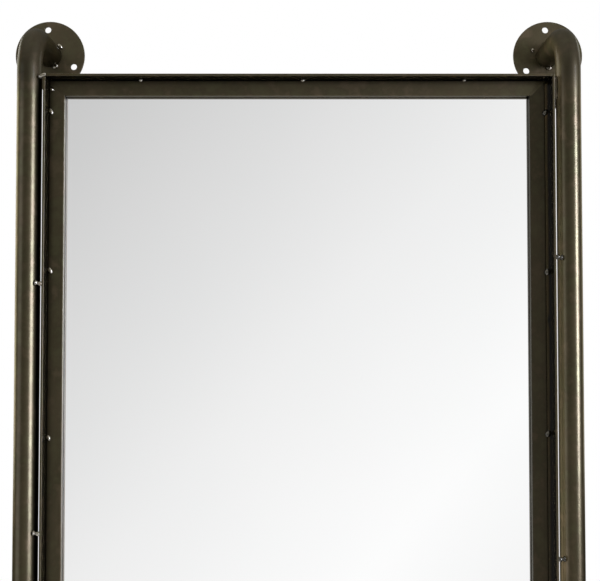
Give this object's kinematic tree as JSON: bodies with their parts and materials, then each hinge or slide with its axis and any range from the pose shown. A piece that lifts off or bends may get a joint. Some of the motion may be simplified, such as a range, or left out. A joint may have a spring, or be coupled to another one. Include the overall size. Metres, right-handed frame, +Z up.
{
  "type": "floor mirror",
  "caption": "Tall floor mirror in a welded round-tube and flat-bar frame: stands on round foot plates and ties back to the wall through bent tube ends and drilled wall plates.",
  "frame": {"origin": "on the floor, in the middle of the object's width and depth", "axes": "+Z up, -Y the way the mirror faces, +Y to the wall, +X to the right as seen from the front"},
  "size_m": [0.7892, 0.173, 1.8],
  "materials": {
    "frame_steel": "dark bronze lacquer over mill-finish steel, semi-gloss, slightly mottled",
    "mirror_glass": "clear silvered float glass, 4 mm, arrised edge",
    "fibreboard": "bare hardboard, smooth face",
    "glazing_foam": "black closed-cell foam tape",
    "pad_rubber": "matt black rubber sheet",
    "zinc_plate": "bright zinc plate"
  },
  "bodies": {
    "frame": {"left_upright_tube": "frame_steel", "left_wall_flange": "frame_steel", "left_foot_flange": "frame_steel", "left_foot_pad": "pad_rubber", "right_upright_tube": "frame_steel", "right_wall_flange": "frame_steel", "right_foot_flange": "frame_steel", "right_foot_pad": "pad_rubber", "rim_top": "frame_steel", "face_bar_top": "frame_steel", "glazing_tape_top": "glazing_foam", "rim_bottom": "frame_steel", "face_bar_bottom": "frame_steel", "glazing_tape_bottom": "glazing_foam", "rim_left": "frame_steel", "face_bar_left": "frame_steel", "glazing_tape_left": "glazing_foam", "rim_right": "frame_steel", "face_bar_right": "frame_steel", "glazing_tape_right": "glazing_foam", "mirror_glass": "mirror_glass", "backing_board": "fibreboard", "pivot_stud_left_1": "zinc_plate", "pivot_stud_left_2": "zinc_plate", "pivot_stud_left_3": "zinc_plate", "pivot_stud_right_1": "zinc_plate", "pivot_stud_right_2": "zinc_plate", "pivot_stud_right_3": "zinc_plate", "pivot_stud_top": "zinc_plate", "pivot_stud_bottom": "zinc_plate"},
    "turn_button_left_1": {"turn_button_left_1": "zinc_plate"},
    "turn_button_left_2": {"turn_button_left_2": "zinc_plate"},
    "turn_button_left_3": {"turn_button_left_3": "zinc_plate"},
    "turn_button_right_1": {"turn_button_right_1": "zinc_plate"},
    "turn_button_right_2": {"turn_button_right_2": "zinc_plate"},
    "turn_button_right_3": {"turn_button_right_3": "zinc_plate"},
    "turn_button_top": {"turn_button_top": "zinc_plate"},
    "turn_button_bottom": {"turn_button_bottom": "zinc_plate"}
  },
  "joints": [
    {"name": "turn_button_left_1_turn", "type": "hinge", "parent": "frame", "child": "turn_button_left_1", "pos_m": [-0.3182, -0.0083, 0.4225], "axis": [0, 1, 0], "range_deg": [-90, 90]},
    {"name": "turn_button_left_2_turn", "type": "hinge", "parent": "frame", "child": "turn_button_left_2", "pos_m": [-0.3182, -0.0083, 0.9025], "axis": [0, 1, 0], "range_deg": [-90, 90]},
    {"name": "turn_button_left_3_turn", "type": "hinge", "parent": "frame", "child": "turn_button_left_3", "pos_m": [-0.3182, -0.0083, 1.3825], "axis": [0, 1, 0], "range_deg": [-90, 90]},
    {"name": "turn_button_right_1_turn", "type": "hinge", "parent": "frame", "child": "turn_button_right_1", "pos_m": [0.3135, -0.0083, 0.4225], "axis": [0, 1, 0], "range_deg": [-90, 90]},
    {"name": "turn_button_right_2_turn", "type": "hinge", "parent": "frame", "child": "turn_button_right_2", "pos_m": [0.3135, -0.0083, 0.9025], "axis": [0, 1, 0], "range_deg": [-90, 90]},
    {"name": "turn_button_right_3_turn", "type": "hinge", "parent": "frame", "child": "turn_button_right_3", "pos_m": [0.3135, -0.0083, 1.3825], "axis": [0, 1, 0], "range_deg": [-90, 90]},
    {"name": "turn_button_top_turn", "type": "hinge", "parent": "frame", "child": "turn_button_top", "pos_m": [-0.00235, -0.0083, 1.6867], "axis": [0, 1, 0], "range_deg": [-90, 90]},
    {"name": "turn_button_bottom_turn", "type": "hinge", "parent": "frame", "child": "turn_button_bottom", "pos_m": [-0.00235, -0.0083, 0.1183], "axis": [0, 1, 0], "range_deg": [-90, 90]}
  ]
}
